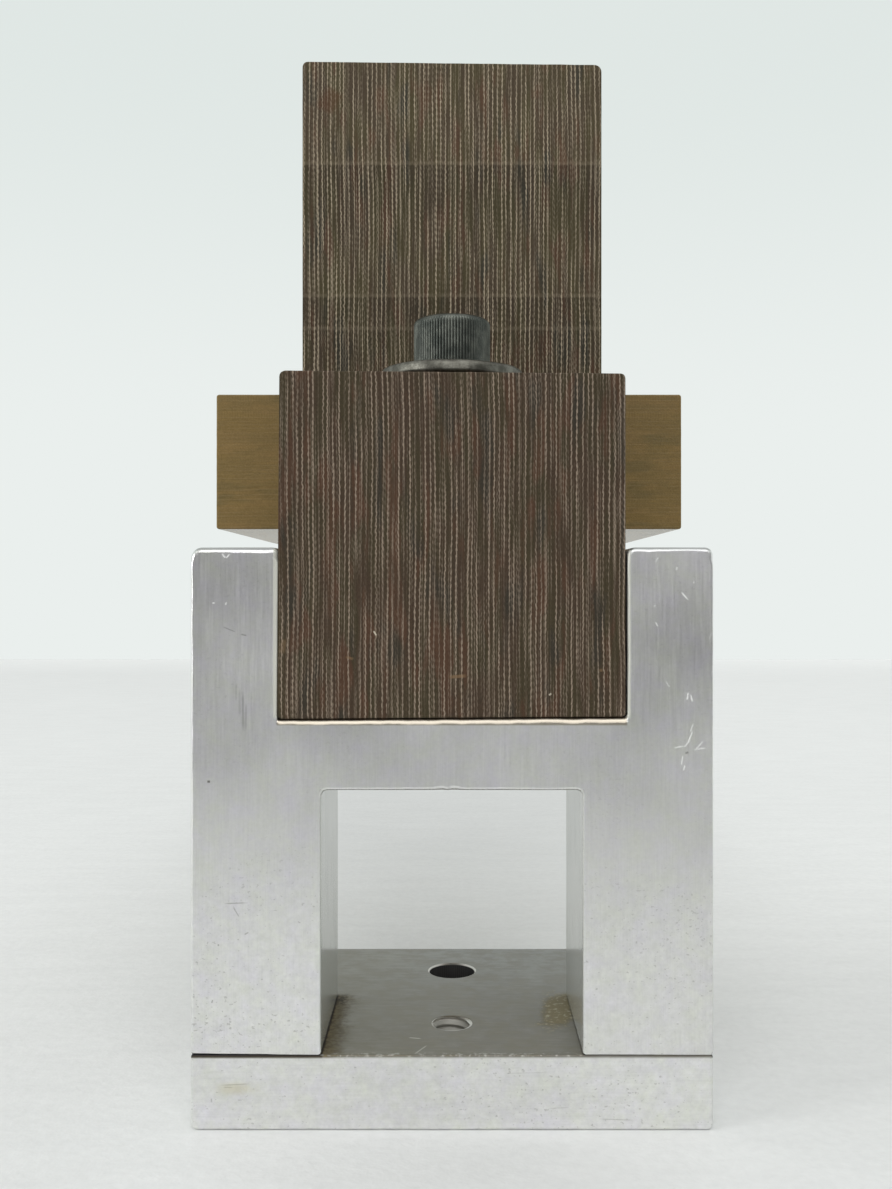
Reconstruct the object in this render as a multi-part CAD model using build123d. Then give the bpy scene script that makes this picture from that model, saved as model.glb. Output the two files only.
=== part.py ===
from build123d import *
import os
from math import sqrt

# Bench holding fixture: an aluminium saddle bolted to a thick base plate, with a stack of
# laminated phenolic blocks held in the saddle's upper slot by one socket screw.
# Millimetres. +X right, +Y to the back, +Z up.
# The origin is the centre of the base plate's underside.

INCH = 25.4

# Base plate
plate_width = 3.0 * INCH
plate_depth = 2.0 * INCH
plate_thickness = 11.0
plate_edge_break = 0.5
bench_hole_y = 0.5 * INCH
bench_hole_radius = 4.0
tapped_hole_y = -0.5 * INCH
tapped_hole_radius = 2.6
hole_chamfer = 0.33

# Saddle: an H-shaped block, legs down to the plate and up beside the front block
saddle_depth = 1.0 * INCH
saddle_front_y = -plate_depth / 2
saddle_back_y = saddle_front_y + saddle_depth
window_width = 1.5 * INCH
window_height = 38.5
web_thickness = 10.4
slot_width = 51.1
slot_depth = 25.0
saddle_edge_break = 0.4
slot_corner_radius = 1.3
window_corner_radius = 0.9

# Phenolic blocks
front_block_width = 50.8
front_block_depth = 1.0 * INCH
front_block_height = 50.8
front_block_shift = -0.1
front_block_taper = 0.5
upright_width = 50.0
upright_depth = 1.0 * INCH
upright_height = 107.0
upright_floor_gap = 0.1
slab_width = 87.7
slab_depth = 80.0
slab_thickness = 1.0 * INCH
slab_shift = -0.6
block_edge_break = 0.35

# Heights that follow from the stack
plate_top_z = plate_thickness
web_bottom_z = plate_top_z + window_height
web_top_z = web_bottom_z + web_thickness
saddle_top_z = web_top_z + slot_depth
front_block_top_z = web_top_z + front_block_height
upright_bottom_z = web_top_z + upright_floor_gap
upright_top_z = upright_bottom_z + upright_height
slab_bottom_z = 90.1
slab_middle_z = slab_bottom_z + slab_thickness / 2

# Depths that follow from the stack
upright_front_y = saddle_back_y
upright_back_y = upright_front_y + upright_depth
slab_front_y = upright_back_y
slab_back_y = slab_front_y + slab_depth

# Clamp screw (5/16 in) and its washer, through the front block into the tapped web
clamp_y = saddle_front_y + saddle_depth / 2
clamp_shank_radius = 3.97
clamp_head_radius = 5.95
clamp_head_height = 7.94
clamp_length = 2.5 * INCH
clamp_socket_width = 6.35
clamp_socket_depth = 4.0
clamp_hole_radius = 4.2
clamp_tapped_radius = clamp_shank_radius + 0.05
clamp_washer_radius = 11.1
clamp_washer_hole_radius = 4.4
clamp_washer_thickness = 2.1

# Saddle screws (No. 10), up through counterbores in the plate into the legs
leg_screw_x = (plate_width + window_width) / 4
leg_screw_spacing = 0.5 * INCH
leg_screw_radius = 2.4
leg_screw_head_radius = 3.97
leg_screw_head_height = 4.8
leg_screw_length = 0.75 * INCH
leg_screw_socket_width = 3.97
leg_screw_socket_depth = 2.4
leg_counterbore_radius = 4.4
leg_counterbore_depth = 5.6
leg_screw_clearance_radius = 2.6

# Quarter-inch joinery screws, washers and dowels between the phenolic blocks
joint_x = 15.0
joint_screw_radius = 3.175
joint_head_radius = 4.76
joint_head_height = 6.35
joint_socket_width = 4.76
joint_socket_depth = 3.1
joint_clearance_radius = 3.4
upright_screw_z = 72.0
upright_screw_length = 1.75 * INCH
upright_washer_radius = 7.94
upright_washer_hole_radius = 3.6
upright_washer_thickness = 1.6
upright_dowel_z = 84.0
upright_dowel_radius = 3.175
slab_screw_length = 1.5 * INCH
slab_counterbore_radius = 5.2
slab_counterbore_depth = 7.0
slab_dowel_spacing = 0.5 * INCH
slab_dowel_radius = 2.38
dowel_length = 0.75 * INCH

# Small allowances
thread_gap = 0.03
dowel_gap = 0.01
tip_gap = 3.0
screw_head_chamfer = 0.4
through = 1.0


def block_between(x_low, x_high, y_low, y_high, z_low, z_high):
    """An axis-aligned block given by its two corners."""
    size = (x_high - x_low, y_high - y_low, z_high - z_low)
    centre = ((x_low + x_high) / 2, (y_low + y_high) / 2, (z_low + z_high) / 2)
    return Pos(*centre) * Box(*size)


def vertical_bore(radius, x, y, z_low, z_high):
    """A cylinder along Z from z_low to z_high."""
    return Pos(x, y, (z_low + z_high) / 2) * Cylinder(radius, z_high - z_low)


def level_bore(radius, x, z, y_low, y_high):
    """A cylinder along Y from y_low to y_high."""
    cylinder = Rot(90, 0, 0) * Cylinder(radius, y_high - y_low)
    return Pos(x, (y_low + y_high) / 2, z) * cylinder


def countersink(radius, x, y, z_top):
    """A shallow cone that breaks the rim of a hole in a face at z_top."""
    cone = Cone(radius, radius + hole_chamfer, hole_chamfer)
    return Pos(x, y, z_top - hole_chamfer / 2) * cone


def socket_screw(shank_radius, length, head_radius, head_height, socket_width, socket_depth):
    """A socket head cap screw with its seat at Z = 0, its head up and its shank down."""
    head = Pos(0, 0, head_height / 2) * Cylinder(head_radius, head_height)
    rim = head.edges().filter_by(GeomType.CIRCLE).sort_by(Axis.Z)[-1]
    head = chamfer(rim, screw_head_chamfer)
    shank = Pos(0, 0, -length / 2) * Cylinder(shank_radius, length)
    tip = shank.edges().filter_by(GeomType.CIRCLE).sort_by(Axis.Z)[0]
    shank = chamfer(tip, screw_head_chamfer)
    outline = RegularPolygon(socket_width / sqrt(3), 6)
    socket = Pos(0, 0, head_height - socket_depth) * extrude(outline, socket_depth + through)
    return head + shank - socket


def washer(radius, hole_radius, thickness):
    """A flat washer lying on Z = 0."""
    ring = Cylinder(radius, thickness) - Cylinder(hole_radius, thickness + through)
    return Pos(0, 0, thickness / 2) * ring


def side_signs():
    """The left and the right of each pair of pieces."""
    return (-1, 1)


def leg_screw_places():
    """The X and Y of the four saddle screws, left leg first, front before back."""
    places = []
    for side in side_signs():
        for end in side_signs():
            places.append((side * leg_screw_x, clamp_y + end * leg_screw_spacing / 2))
    return places


def base_plate():
    plate = block_between(
        -plate_width / 2, plate_width / 2, -plate_depth / 2, plate_depth / 2, 0, plate_top_z
    )
    plate = chamfer(plate.edges().filter_by(Axis.Z), plate_edge_break)
    plate -= vertical_bore(bench_hole_radius, 0, bench_hole_y, -through, plate_top_z + through)
    plate -= countersink(bench_hole_radius, 0, bench_hole_y, plate_top_z)
    plate -= vertical_bore(tapped_hole_radius, 0, tapped_hole_y, -through, plate_top_z + through)
    plate -= countersink(tapped_hole_radius, 0, tapped_hole_y, plate_top_z)
    for x, y in leg_screw_places():
        plate -= vertical_bore(leg_counterbore_radius, x, y, -through, leg_counterbore_depth)
        plate -= vertical_bore(leg_screw_clearance_radius, x, y, 0, plate_top_z + through)
    return plate


def saddle():
    body = block_between(
        -plate_width / 2, plate_width / 2, saddle_front_y, saddle_back_y, plate_top_z, saddle_top_z
    )
    corners = body.edges().filter_by(Axis.Y).group_by(Axis.Z)[-1]
    body = fillet(corners, slot_corner_radius)
    slot = block_between(
        -slot_width / 2,
        slot_width / 2,
        saddle_front_y - through,
        saddle_back_y + through,
        web_top_z,
        saddle_top_z + through,
    )
    window = block_between(
        -window_width / 2,
        window_width / 2,
        saddle_front_y - through,
        saddle_back_y + through,
        plate_top_z - through,
        web_bottom_z,
    )
    window = fillet(window.edges().filter_by(Axis.Y).group_by(Axis.Z)[-1], window_corner_radius)
    body = body - slot - window
    body = chamfer(outer_face_edges(body), saddle_edge_break)
    body -= vertical_bore(clamp_tapped_radius, 0, clamp_y, web_bottom_z - through, web_top_z + through)
    screw_tip_z = leg_counterbore_depth + leg_screw_length + tip_gap
    for x, y in leg_screw_places():
        body -= vertical_bore(leg_screw_radius + thread_gap, x, y, plate_top_z - through, screw_tip_z)
    return body


def outer_face_edges(body):
    """The upright outer corners of the saddle, front and back."""
    edges = body.edges().filter_by(Axis.Z)
    return [edge for edge in edges if abs(abs(edge.center().X) - plate_width / 2) < 0.01]


def front_block():
    left = front_block_shift - front_block_width / 2
    right = front_block_shift + front_block_width / 2
    outline = Polyline(
        (left, web_top_z),
        (right, web_top_z),
        (right, front_block_top_z),
        (left + front_block_taper, front_block_top_z),
        close=True,
    )
    face = make_face(Plane.XZ * outline)
    block = Pos(0, saddle_back_y, 0) * extrude(face, front_block_depth)
    block = chamfer(block.edges().filter_by(Axis.Y), block_edge_break)
    block -= vertical_bore(clamp_hole_radius, 0, clamp_y, web_top_z - through, front_block_top_z + through)
    tip_y = upright_back_y + upright_washer_thickness - upright_screw_length
    for side in side_signs():
        x = side * joint_x
        tapped = joint_screw_radius + thread_gap
        block -= level_bore(tapped, x, upright_screw_z, tip_y - tip_gap, saddle_back_y + through)
        block -= upright_dowel(side, dowel_gap)
    return block


def upright():
    post = block_between(
        -upright_width / 2,
        upright_width / 2,
        upright_front_y,
        upright_back_y,
        upright_bottom_z,
        upright_top_z,
    )
    post = chamfer(post.edges().filter_by(Axis.Z), block_edge_break)
    front = upright_front_y - through
    back = upright_back_y + through
    for side in side_signs():
        x = side * joint_x
        post -= level_bore(joint_clearance_radius, x, upright_screw_z, front, back)
        post -= level_bore(joint_clearance_radius, x, slab_middle_z, front, back)
        seat = upright_front_y + slab_counterbore_depth
        post -= level_bore(slab_counterbore_radius, x, slab_middle_z, front, seat)
        post -= upright_dowel(side, dowel_gap)
        post -= slab_dowel(side, dowel_gap)
    return post


def slab():
    body = block_between(
        slab_shift - slab_width / 2,
        slab_shift + slab_width / 2,
        slab_front_y,
        slab_back_y,
        slab_bottom_z,
        slab_bottom_z + slab_thickness,
    )
    body = chamfer(body.edges().filter_by(Axis.Z), block_edge_break)
    tip_y = upright_front_y + slab_counterbore_depth + slab_screw_length + tip_gap
    for side in side_signs():
        tapped = joint_screw_radius + thread_gap
        body -= level_bore(tapped, side * joint_x, slab_middle_z, slab_front_y - through, tip_y)
        body -= slab_dowel(side, dowel_gap)
    return body


def clamp_screw():
    screw = socket_screw(
        clamp_shank_radius,
        clamp_length,
        clamp_head_radius,
        clamp_head_height,
        clamp_socket_width,
        clamp_socket_depth,
    )
    return Pos(0, clamp_y, front_block_top_z + clamp_washer_thickness) * screw


def clamp_washer():
    ring = washer(clamp_washer_radius, clamp_washer_hole_radius, clamp_washer_thickness)
    return Pos(0, clamp_y, front_block_top_z) * ring


def saddle_screw(x, y):
    screw = socket_screw(
        leg_screw_radius,
        leg_screw_length,
        leg_screw_head_radius,
        leg_screw_head_height,
        leg_screw_socket_width,
        leg_screw_socket_depth,
    )
    return Pos(x, y, leg_counterbore_depth) * Rot(180, 0, 0) * screw


def joinery_screw(length):
    return socket_screw(
        joint_screw_radius,
        length,
        joint_head_radius,
        joint_head_height,
        joint_socket_width,
        joint_socket_depth,
    )


def upright_screw(side):
    """Head at the back of the upright, tip in the front block."""
    seat = (side * joint_x, upright_back_y + upright_washer_thickness, upright_screw_z)
    return Pos(*seat) * Rot(-90, 0, 0) * joinery_screw(upright_screw_length)


def upright_washer(side):
    ring = washer(upright_washer_radius, upright_washer_hole_radius, upright_washer_thickness)
    return Pos(side * joint_x, upright_back_y, upright_screw_z) * Rot(-90, 0, 0) * ring


def slab_screw(side):
    """Head sunk in the upright's front face, tip in the slab."""
    seat = (side * joint_x, upright_front_y + slab_counterbore_depth, slab_middle_z)
    return Pos(*seat) * Rot(90, 0, 0) * joinery_screw(slab_screw_length)


def upright_dowel(side, growth=0.0):
    """A dowel half in the front block and half in the upright; growth makes its hole."""
    reach = dowel_length / 2 + growth
    return level_bore(
        upright_dowel_radius + growth,
        side * joint_x,
        upright_dowel_z,
        upright_front_y - reach,
        upright_front_y + reach,
    )


def slab_dowel(side, growth=0.0):
    """A dowel half in the upright and half in the slab, one below and one above the middle."""
    reach = dowel_length / 2 + growth
    return level_bore(
        slab_dowel_radius + growth,
        0,
        slab_middle_z + side * slab_dowel_spacing / 2,
        slab_front_y - reach,
        slab_front_y + reach,
    )


def all_parts():
    """Every node by name."""
    parts = {
        "base_plate": base_plate(),
        "saddle": saddle(),
        "front_block": front_block(),
        "upright": upright(),
        "slab": slab(),
        "clamp_screw": clamp_screw(),
        "clamp_washer": clamp_washer(),
    }
    for number, (x, y) in enumerate(leg_screw_places(), start=1):
        parts[f"saddle_screw_{number}"] = saddle_screw(x, y)
    for number, side in enumerate(side_signs(), start=1):
        parts[f"upright_screw_{number}"] = upright_screw(side)
        parts[f"upright_washer_{number}"] = upright_washer(side)
        parts[f"upright_dowel_{number}"] = upright_dowel(side)
        parts[f"slab_screw_{number}"] = slab_screw(side)
        parts[f"slab_dowel_{number}"] = slab_dowel(side)
    return parts


os.makedirs("parts", exist_ok=True)
for name, shape in all_parts().items():
    export_step(shape, f"parts/{name}.step")
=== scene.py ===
import math

import bmesh
import bpy
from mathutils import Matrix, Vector, noise


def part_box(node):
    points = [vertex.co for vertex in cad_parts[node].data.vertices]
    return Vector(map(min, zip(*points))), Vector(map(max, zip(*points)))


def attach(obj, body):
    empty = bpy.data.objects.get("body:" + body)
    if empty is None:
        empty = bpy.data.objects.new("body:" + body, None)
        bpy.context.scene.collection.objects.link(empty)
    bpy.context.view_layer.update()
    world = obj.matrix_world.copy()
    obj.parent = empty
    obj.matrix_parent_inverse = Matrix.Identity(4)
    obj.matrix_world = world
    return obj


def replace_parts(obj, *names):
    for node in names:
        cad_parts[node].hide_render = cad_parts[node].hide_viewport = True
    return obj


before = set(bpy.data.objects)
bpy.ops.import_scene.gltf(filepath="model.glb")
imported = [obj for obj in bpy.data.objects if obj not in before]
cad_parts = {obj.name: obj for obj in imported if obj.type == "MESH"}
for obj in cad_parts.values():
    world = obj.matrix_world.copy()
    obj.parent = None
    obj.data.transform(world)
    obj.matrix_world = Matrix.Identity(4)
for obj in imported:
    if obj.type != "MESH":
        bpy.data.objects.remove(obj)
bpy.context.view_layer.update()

# Looks for the bench fixture, in the CAD frame: +X right, +Y to the back, +Z up.
# The front is the saddle's face at the lowest Y.
# Sizes and places are millimetres, except where a comment says metres; meshes end up in metres.

MM = 0.001
INCH = 25.4


# ---------------- places taken from the frame

def box_mm(node):
    """A CAD node's lowest and highest corners in millimetres."""
    low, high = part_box(node)
    return low / MM, high / MM


plate_low, plate_high = box_mm("base_plate")
saddle_low, saddle_high = box_mm("saddle")
block_low, block_high = box_mm("front_block")
upright_low, upright_high = box_mm("upright")
slab_low, slab_high = box_mm("slab")
screw_low, screw_high = box_mm("clamp_screw")
washer_low, washer_high = box_mm("clamp_washer")

window_half = 19.05
window_height = 38.5
slot_half = 25.55
web_bottom = plate_high.z + window_height
web_top = block_low.z
# The slot's floor and the front block's bottom rise this much from left to right.
floor_rise = 0.34

clamp_x = (screw_low.x + screw_high.x) / 2
clamp_y = (screw_low.y + screw_high.y) / 2

# The two holes on the plate's centreline, a plain one behind and a tapped one in front.
bench_hole_y = 12.7
bench_hole_radius = 4.0
bench_mouth_radius = 4.22
thread_hole_y = -12.7
thread_bore_radius = 3.3


# ---------------- mesh helpers

def wave(seed, place, size):
    """Smooth noise between -1 and 1 along one line, size millimetres per bump."""
    return noise.noise(Vector((place / size, seed * 7.31, seed * 3.17)))


def even_shading(piece):
    """Keeps flat faces flat to the eye beside their softened edges."""
    piece.modifiers.new("flat_faces", "WEIGHTED_NORMAL").keep_sharp = True


def new_object(name, data):
    made = bpy.data.objects.new(name, data)
    bpy.context.scene.collection.objects.link(made)
    return made


def new_piece(mesh, body, material, smooth_angle=40):
    """A finished object, named as its mesh: sharp creases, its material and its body."""
    piece = new_object(mesh.name, mesh)
    mesh.set_sharp_from_angle(angle=math.radians(smooth_angle))
    mesh.materials.clear()
    mesh.materials.append(material)
    even_shading(piece)
    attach(piece, body)
    return piece


def mesh_from(work, name):
    """Closes a bmesh, given in millimetres, into a mesh in metres."""
    bmesh.ops.recalc_face_normals(work, faces=work.faces)
    bmesh.ops.scale(work, vec=(MM, MM, MM), verts=work.verts)
    mesh = bpy.data.meshes.new(name)
    work.to_mesh(mesh)
    work.free()
    return mesh


def rounded_outline(corners, step):
    """Points, outward normals and deepest inset round a polygon in X and Z.

    corners are (x, z, radius), anticlockwise seen from the front.
    """
    ring = []
    count = len(corners)
    arc_step = step * 0.35
    for index, (x, z, radius) in enumerate(corners):
        here = Vector((x, z))
        before = Vector(corners[index - 1][:2])
        after = Vector(corners[(index + 1) % count][:2])
        arrive = (here - before).normalized()
        leave = (after - here).normalized()
        turn = arrive.angle_signed(leave, 0.0)
        bend = -turn
        reach = radius * math.tan(abs(bend) / 2)
        start = here - arrive * reach
        side = 1 if bend > 0 else -1
        centre = start + Vector((-arrive.y, arrive.x)) * radius * side
        pieces = max(2, math.ceil(abs(bend) * radius / arc_step))
        for part in range(pieces + 1):
            angle = bend * part / pieces
            spoke = start - centre
            turned = Vector((
                spoke.x * math.cos(angle) - spoke.y * math.sin(angle),
                spoke.x * math.sin(angle) + spoke.y * math.cos(angle),
            ))
            deepest = 0.92 * radius if side > 0 else math.inf
            ring.append((centre + turned, turned.normalized() * side, deepest))
        end = here + leave * reach
        next_radius = corners[(index + 1) % count][2]
        after_next = Vector(corners[(index + 2) % count][:2])
        next_leave = (after_next - after).normalized()
        next_turn = abs(leave.angle_signed(next_leave, 0.0))
        finish = after - leave * next_radius * math.tan(next_turn / 2)
        length = (finish - end).length
        normal = Vector((leave.y, -leave.x))
        parts = math.ceil(length / step)
        for part in range(1, parts):
            ring.append((end.lerp(finish, part / parts), normal, math.inf))
    return ring


def profile_mesh(name, corners, y_front, y_back, edge_break, step=0.7):
    """A prism along Y with softened front and back edges.

    edge_break(point, normal, end) gives the width of the softened edge, end is "front" or "back".
    """
    ring = rounded_outline(corners, step)
    work = bmesh.new()
    loops = []
    # The softened edge's section, as shares of its width: in from the side, back from the face.
    shares = ((1.0, 0.0), (0.62, 0.08), (0.29, 0.29), (0.08, 0.62), (0.0, 1.0))
    for end, y_face, inward in (("front", y_front, 1), ("back", y_back, -1)):
        order = shares if end == "front" else tuple(reversed(shares))
        for in_share, deep_share in order:
            loop = []
            for point, normal, deepest in ring:
                width = min(edge_break(point, normal, end), deepest)
                place = point - normal * width * in_share
                loop.append(work.verts.new((place.x, y_face + inward * width * deep_share, place.y)))
            loops.append(loop)
    count = len(ring)
    for near, far in zip(loops, loops[1:]):
        for index in range(count):
            after = (index + 1) % count
            work.faces.new((near[index], near[after], far[after], far[index]))
    caps = (work.faces.new(loops[0]), work.faces.new(list(reversed(loops[-1]))))
    for face in work.faces:
        face.smooth = face not in caps
    return mesh_from(work, name)


def block_outline(low, high, radii, lean=0.0, rise=0.0, fall=0.0):
    """A block's corners for rounded_outline, from its box; radii go anticlockwise from the lower left."""
    return [
        (low.x, low.z, radii[0]),
        (high.x, low.z + rise, radii[1]),
        (high.x, high.z - fall, radii[2]),
        (low.x + lean, high.z, radii[3]),
    ]


def skin(work, rings, closed=False):
    """Smooth faces between rings of equal length; closed joins the last ring to the first."""
    loops = [[work.verts.new(place) for place in ring] for ring in rings]
    count = len(loops[0])
    for near, far in zip(loops, loops[1:] + (loops[:1] if closed else [])):
        for index in range(count):
            after = (index + 1) % count
            work.faces.new((near[index], near[after], far[after], far[index])).smooth = True
    return loops


def capped_skin(work, rings):
    """A skin whose first and last rings are filled."""
    loops = skin(work, rings)
    work.faces.new(list(reversed(loops[0])))
    work.faces.new(loops[-1])


def circle_ring(radius, height, columns):
    """One ring of points about the Z axis; radius and height are numbers or functions of the angle."""
    ring = []
    for column in range(columns):
        angle = 2 * math.pi * column / columns
        reach = radius(angle) if callable(radius) else radius
        z = height(angle) if callable(height) else height
        ring.append((reach * math.cos(angle), reach * math.sin(angle), z))
    return ring


def cut(piece, cutter):
    """Takes the cutter's volume out of the piece and removes the cutter."""
    piece.modifiers.clear()
    changed = piece.modifiers.new("cut", "BOOLEAN")
    changed.operation = "DIFFERENCE"
    changed.solver = "EXACT"
    changed.object = cutter
    bpy.context.view_layer.update()
    seen = bpy.context.evaluated_depsgraph_get()
    result = bpy.data.meshes.new_from_object(piece.evaluated_get(seen))
    piece.modifiers.clear()
    result.set_sharp_from_angle(angle=math.radians(30))
    old = piece.data
    piece.data = result
    bpy.data.meshes.remove(old)
    bpy.data.objects.remove(cutter)
    even_shading(piece)


def drill(name, x, y, profile, columns=64):
    """A cutter standing along Z at x, y; profile is a list of (radius, z) from the bottom up."""
    work = bmesh.new()
    capped_skin(work, [circle_ring(radius, z, columns) for radius, z in profile])
    bmesh.ops.translate(work, vec=(x, y, 0), verts=work.verts)
    return new_object(name, mesh_from(work, name))


# ---------------- material helpers

class Value:
    """Something that nodes work out. Arithmetic with it adds nodes to the same tree."""

    def __init__(self, nodes, socket):
        self.nodes = nodes
        self.socket = socket

    def __add__(self, other):
        return self.nodes.math("ADD", self, other)

    def __mul__(self, other):
        return self.nodes.math("MULTIPLY", self, other)

    __radd__ = __add__
    __rmul__ = __mul__

    def __sub__(self, other):
        return self.nodes.math("SUBTRACT", self, other)

    def __rsub__(self, other):
        return self.nodes.math("SUBTRACT", other, self)

    def __abs__(self):
        return self.nodes.math("ABSOLUTE", self)


class Nodes:
    """Builds a node tree; its inputs are numbers, colours and Values."""

    def __init__(self, tree):
        self.tree = tree
        tree.nodes.clear()

    def feed(self, socket, value):
        if isinstance(value, Value):
            self.tree.links.new(value.socket, socket)
        elif isinstance(value, tuple) and len(value) == 3 and socket.type == "RGBA":
            socket.default_value = (*value, 1.0)
        else:
            socket.default_value = value

    def node(self, kind, inputs, output=0, **settings):
        made = self.tree.nodes.new(kind)
        for key, value in settings.items():
            setattr(made, key, value)
        for key, value in inputs.items():
            self.feed(made.inputs[key], value)
        return Value(self, made.outputs[output])

    def end(self, kind, surface):
        """Ends the tree in an output node."""
        self.feed(self.tree.nodes.new(kind).inputs[0], surface)

    def math(self, operation, a, b=0.0):
        return self.node("ShaderNodeMath", {0: a, 1: b}, operation=operation)

    def sine(self, value):
        return self.math("SINE", value)

    def strongest(self, first, *others):
        for other in others:
            first = self.math("MAXIMUM", first, other)
        return first

    def split(self, vector):
        made = self.tree.nodes.new("ShaderNodeSeparateXYZ")
        self.feed(made.inputs[0], vector)
        return [Value(self, axis) for axis in made.outputs]

    def combine(self, x, y, z):
        return self.node("ShaderNodeCombineXYZ", {0: x, 1: y, 2: z})

    def noise(self, place, scale, detail=2.0, roughness=0.5):
        return self.node(
            "ShaderNodeTexNoise",
            {"Vector": place, "Scale": scale, "Detail": detail, "Roughness": roughness},
        )

    def ramp(self, value, low, high, to_low=0.0, to_high=1.0):
        """Smooth step of value from low to high."""
        return self.node(
            "ShaderNodeMapRange",
            {"Value": value, "From Min": low, "From Max": high, "To Min": to_low, "To Max": to_high},
            interpolation_type="SMOOTHSTEP",
        )

    def mix(self, share, first, second, blend="MIX"):
        inputs = {0: share, 6: first, 7: second}
        return self.node("ShaderNodeMix", inputs, 2, data_type="RGBA", blend_type=blend)

    def bump(self, height, strength, distance):
        return self.node("ShaderNodeBump", {"Height": height, "Strength": strength, "Distance": distance})


class Shader(Nodes):
    """Builds one material. x, y, z and place are millimetres in the object's own frame."""

    def __init__(self, name):
        self.material = bpy.data.materials.new(name)
        self.material.use_nodes = True
        super().__init__(self.material.node_tree)
        metres = self.node("ShaderNodeTexCoord", {}, "Object")
        self.place = self.node("ShaderNodeVectorMath", {0: metres, 3: 1 / MM}, operation="SCALE")
        self.x, self.y, self.z = self.split(self.place)

    def patches(self, per_mm, detail, roughness):
        """Even noise."""
        return self.noise(self.place, per_mm, detail, roughness)

    def streaks(self, frequencies, detail, roughness):
        """Noise with its own frequency per millimetre on each axis."""
        fx, fy, fz = frequencies
        return self.noise(self.combine(self.x * fx, self.y * fy, self.z * fz), 1.0, detail, roughness)

    def finish(self, **inputs):
        """Ends in a principled shader; keys are its socket names with underscores for spaces."""
        named = {key.replace("_", " "): value for key, value in inputs.items()}
        self.end("ShaderNodeOutputMaterial", self.node("ShaderNodeBsdfPrincipled", named))
        return self.material


def scratch_mask(shader, x, rise, angle, length, width, upward):
    """1 on a short thin line, 0 elsewhere, with soft ends; upward is the coordinate that rise is on."""
    turn = math.radians(angle)
    dx = shader.x - x
    dz = upward - rise
    along = dx * math.cos(turn) + dz * math.sin(turn)
    across = dx * -math.sin(turn) + dz * math.cos(turn)
    near = shader.ramp(abs(across), width, width * 0.3)
    inside = shader.ramp(abs(along), length / 2, length / 4)
    return near * inside


def strongest_mark(shader, marks, upward):
    """The strongest of several marks, each (x, rise, angle, length, width, strength)."""
    masks = [scratch_mask(shader, *line, upward) * strength for *line, strength in marks]
    return shader.strongest(0.0, *masks)


def front_marks(shader, marks, front):
    """Short marks on the face at Y = front, and nothing behind it."""
    near_front = shader.ramp(shader.y, front + 1.6, front + 0.6)
    return strongest_mark(shader, marks, shader.z) * near_front


def aluminium(name, brush, front, dark_marks, bright_marks=()):
    """Machined aluminium: brush is the (x, y, z) frequencies of its tool lines, per millimetre.

    A mark is (x, z, angle, length, width, strength) on the face at Y = front.
    """
    shader = Shader(name)
    lines = shader.streaks(brush, 3.0, 0.6)
    cloud = shader.patches(0.055, 3.0, 0.55)
    grain = shader.patches(1.9, 3.0, 0.65)
    mottle = shader.patches(0.85, 3.0, 0.7)
    low_down = shader.ramp(shader.z, 48.0, 24.0)
    level = 0.80 + (lines - 0.5) * 0.12 + (cloud - 0.5) * 0.14 + (grain - 0.5) * 0.12
    level += (mottle - 0.5) * 0.26 * low_down
    warmth = (shader.patches(0.24, 3.0, 0.65) - 0.5) * 0.20
    green = level * (1.0 - warmth * 0.35)
    blue = level * (0.985 + warmth)
    colour = shader.node("ShaderNodeCombineColor", {0: level, 1: green, 2: blue})

    specks = shader.streaks((1.5, 1.5, 2.1), 2.0, 0.6)
    crowding = shader.patches(0.09, 2.0, 0.5)
    pits = shader.ramp(specks - (0.775 - crowding * 0.27), 0.0, 0.07)
    pits *= 0.25 + low_down * 0.75
    colour = shader.mix(pits * 0.34, colour, (0.20, 0.19, 0.165))

    bright = front_marks(shader, bright_marks, front) * 0.72
    colour = shader.mix(bright, colour, (0.95, 0.95, 0.93))
    colour = shader.mix(front_marks(shader, dark_marks, front), colour, (0.16, 0.15, 0.13))
    roughness = 0.34 + (cloud - 0.5) * 0.16 + (lines - 0.5) * 0.12 + bright * 0.3
    metal = 1.0 - bright * 0.6
    height = lines * 0.7 + grain * 0.3
    return shader, colour, metal, roughness, shader.bump(height, 0.22, 0.00006)


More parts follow.
